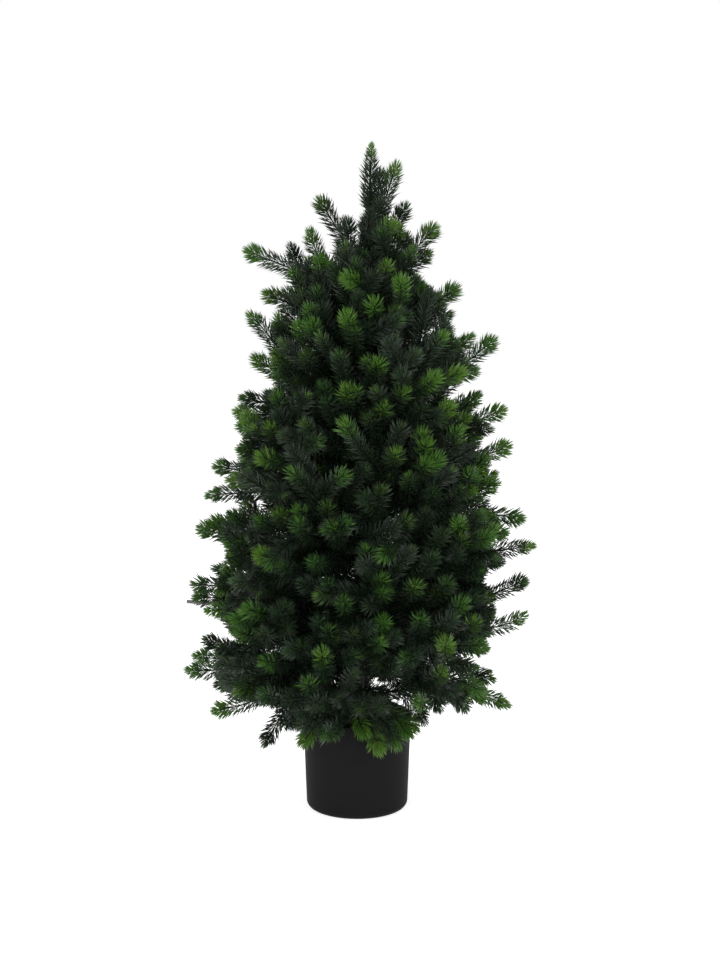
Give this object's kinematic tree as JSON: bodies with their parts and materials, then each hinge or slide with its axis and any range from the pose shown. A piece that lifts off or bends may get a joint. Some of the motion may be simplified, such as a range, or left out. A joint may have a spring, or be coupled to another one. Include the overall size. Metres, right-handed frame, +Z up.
{
  "type": "potted artificial spruce",
  "caption": "Small artificial spruce with dense upswept needled shoots on a slim leaning trunk, standing in a plain round tapered black pot weighted with cement.",
  "frame": {"origin": "centre of the pot's flat underside", "axes": "+Z up along the tree, from the pot's underside to the leader; +X the way the leader leans; -Y the side that faced the camera"},
  "size_m": [0.491, 0.4653, 0.9042],
  "materials": {
    "black_plastic": "matte black moulded plastic",
    "cement": "rough grey cement",
    "wrapped_wire": "steel wire and pole wound with dark brown tape",
    "needle_green": "moulded needles, dark green with lighter tips"
  },
  "bodies": {
    "root": {"bough_01": "wrapped_wire", "bough_02": "wrapped_wire", "bough_03": "wrapped_wire", "bough_04": "wrapped_wire", "bough_05": "wrapped_wire", "bough_06": "wrapped_wire", "bough_07": "wrapped_wire", "bough_08": "wrapped_wire", "bough_09": "wrapped_wire", "bough_10": "wrapped_wire", "bough_11": "wrapped_wire", "bough_12": "wrapped_wire", "bough_13": "wrapped_wire", "bough_14": "wrapped_wire", "bough_15": "wrapped_wire", "bough_16": "wrapped_wire", "bough_17": "wrapped_wire", "bough_18": "wrapped_wire", "needles_01": "needle_green", "needles_02": "needle_green", "needles_03": "needle_green", "needles_04": "needle_green", "needles_05": "needle_green", "needles_06": "needle_green", "needles_07": "needle_green", "needles_08": "needle_green", "needles_09": "needle_green", "needles_10": "needle_green", "needles_11": "needle_green", "needles_12": "needle_green", "needles_13": "needle_green", "needles_14": "needle_green", "needles_15": "needle_green", "needles_16": "needle_green", "needles_17": "needle_green", "needles_18": "needle_green", "needles_19": "needle_green", "needles_20": "needle_green", "needles_21": "needle_green", "needles_22": "needle_green", "needles_23": "needle_green", "needles_24": "needle_green", "needles_25": "needle_green", "needles_26": "needle_green", "needles_27": "needle_green", "needles_28": "needle_green", "needles_29": "needle_green", "needles_30": "needle_green", "needles_31": "needle_green", "needles_32": "needle_green", "needles_33": "needle_green", "needles_34": "needle_green", "needles_35": "needle_green", "needles_36": "needle_green", "needles_leader": "needle_green", "pot": "black_plastic", "pot_filling": "cement", "trunk": "wrapped_wire"}
  },
  "joints": []
}
